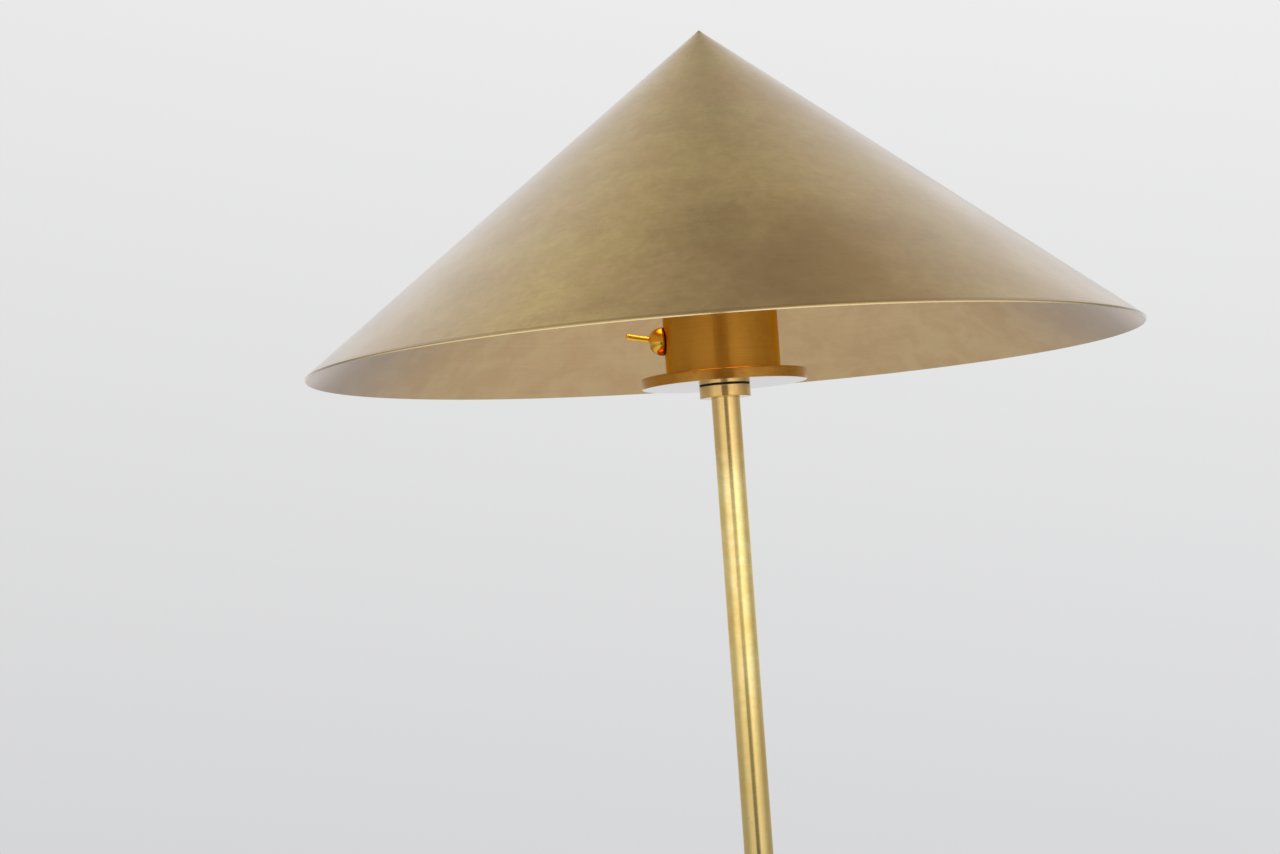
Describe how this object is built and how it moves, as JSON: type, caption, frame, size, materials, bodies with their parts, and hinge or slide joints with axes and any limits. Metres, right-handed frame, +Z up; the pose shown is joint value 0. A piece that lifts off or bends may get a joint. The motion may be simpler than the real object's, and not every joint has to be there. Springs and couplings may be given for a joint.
{
  "type": "tripod floor lamp",
  "caption": "Tripod floor lamp: conical brass shade on a swivelling head with a toggle switch in its lamp cup, slim stem, ball hub and tapered splayed legs.",
  "frame": {"origin": "on the floor, under the stem's axis, at the middle of the lamp's footprint", "axes": "+Z up along the stem; the front faces -Y; the switch is on the -X side and one leg points back along +Y"},
  "size_m": [0.459, 0.4588, 1.4589],
  "materials": {
    "shade_brass": "aged and lightly brushed, soft cloudy patina",
    "solder_brass": "brazed, filed smooth",
    "cup_brass": "satin, turned",
    "plate_brass": "satin edge, polished faces",
    "stem_brass": "polished, unlacquered, a few tarnish spots",
    "turned_brass": "satin, turned",
    "leg_brass": "polished, unlacquered",
    "switch_brass": "polished",
    "pad_rubber": "matte",
    "black_nylon": "satin moulded",
    "black_fibre": "pressed fibre",
    "black_phenolic": "moulded phenolic",
    "plated_steel": "zinc plated",
    "lead_sleeve": "extruded sleeve",
    "brown_core": "extruded",
    "blue_core": "extruded",
    "porcelain": "glazed white",
    "bulb_metal": "rolled thread",
    "black_glass": "glossy",
    "bulb_plastic": "smooth moulded",
    "opal": "opal, softly matte"
  },
  "bodies": {
    "stand": {"foot_pad_back": "pad_rubber", "foot_pad_left": "pad_rubber", "foot_pad_right": "pad_rubber", "foot_back": "turned_brass", "foot_left": "turned_brass", "foot_right": "turned_brass", "leg_back": "leg_brass", "leg_left": "leg_brass", "leg_right": "leg_brass", "hub": "turned_brass", "hub_cap": "turned_brass", "cord_inlet_bush": "black_nylon", "hub_collar": "turned_brass", "stem_set_screw": "plated_steel", "stem": "stem_brass", "stem_insert": "turned_brass", "collar": "turned_brass", "swivel_washer": "black_fibre", "stop_pin": "plated_steel", "swivel_spindle": "plated_steel", "spring_washer": "plated_steel", "spindle_nut": "plated_steel", "supply_lead": "lead_sleeve"},
    "head": {"head_plate": "plate_brass", "cup": "cup_brass", "cup_screws": "plated_steel", "lampholder_bracket": "plated_steel", "bracket_screws": "plated_steel", "lampholder_nipple": "plated_steel", "lampholder_nut": "plated_steel", "lampholder_cap": "turned_brass", "lampholder_body": "porcelain", "lampholder_shell": "turned_brass", "lampholder_contact": "turned_brass", "bulb_contact": "bulb_metal", "bulb_insulator": "black_glass", "bulb_cap": "bulb_metal", "bulb_housing": "bulb_plastic", "bulb_globe": "opal", "shade_fitter": "turned_brass", "fitter_screws": "turned_brass", "shade_strut_front": "turned_brass", "shade_strut_left": "turned_brass", "shade_strut_right": "turned_brass", "strut_pads": "turned_brass", "shade": "shade_brass", "shade_tip": "solder_brass", "switch_body": "black_phenolic", "switch_terminals": "plated_steel", "switch_bushing": "plated_steel", "switch_lock_nut": "plated_steel", "switch_seal": "black_fibre", "switch_dome_nut": "switch_brass", "live_core": "brown_core", "switched_core": "brown_core", "neutral_core": "blue_core"},
    "lever": {"toggle_lever": "switch_brass"}
  },
  "joints": [
    {"name": "head_swivel", "type": "hinge", "parent": "stand", "child": "head", "pos_m": [0, 0, 1.2594], "axis": [0, 0, 1], "range_deg": [-165, 165]},
    {"name": "switch_toggle", "type": "hinge", "parent": "head", "child": "lever", "pos_m": [-0.033, 0, 1.286], "axis": [0, -1, 0], "range_deg": [0, 24]}
  ]
}
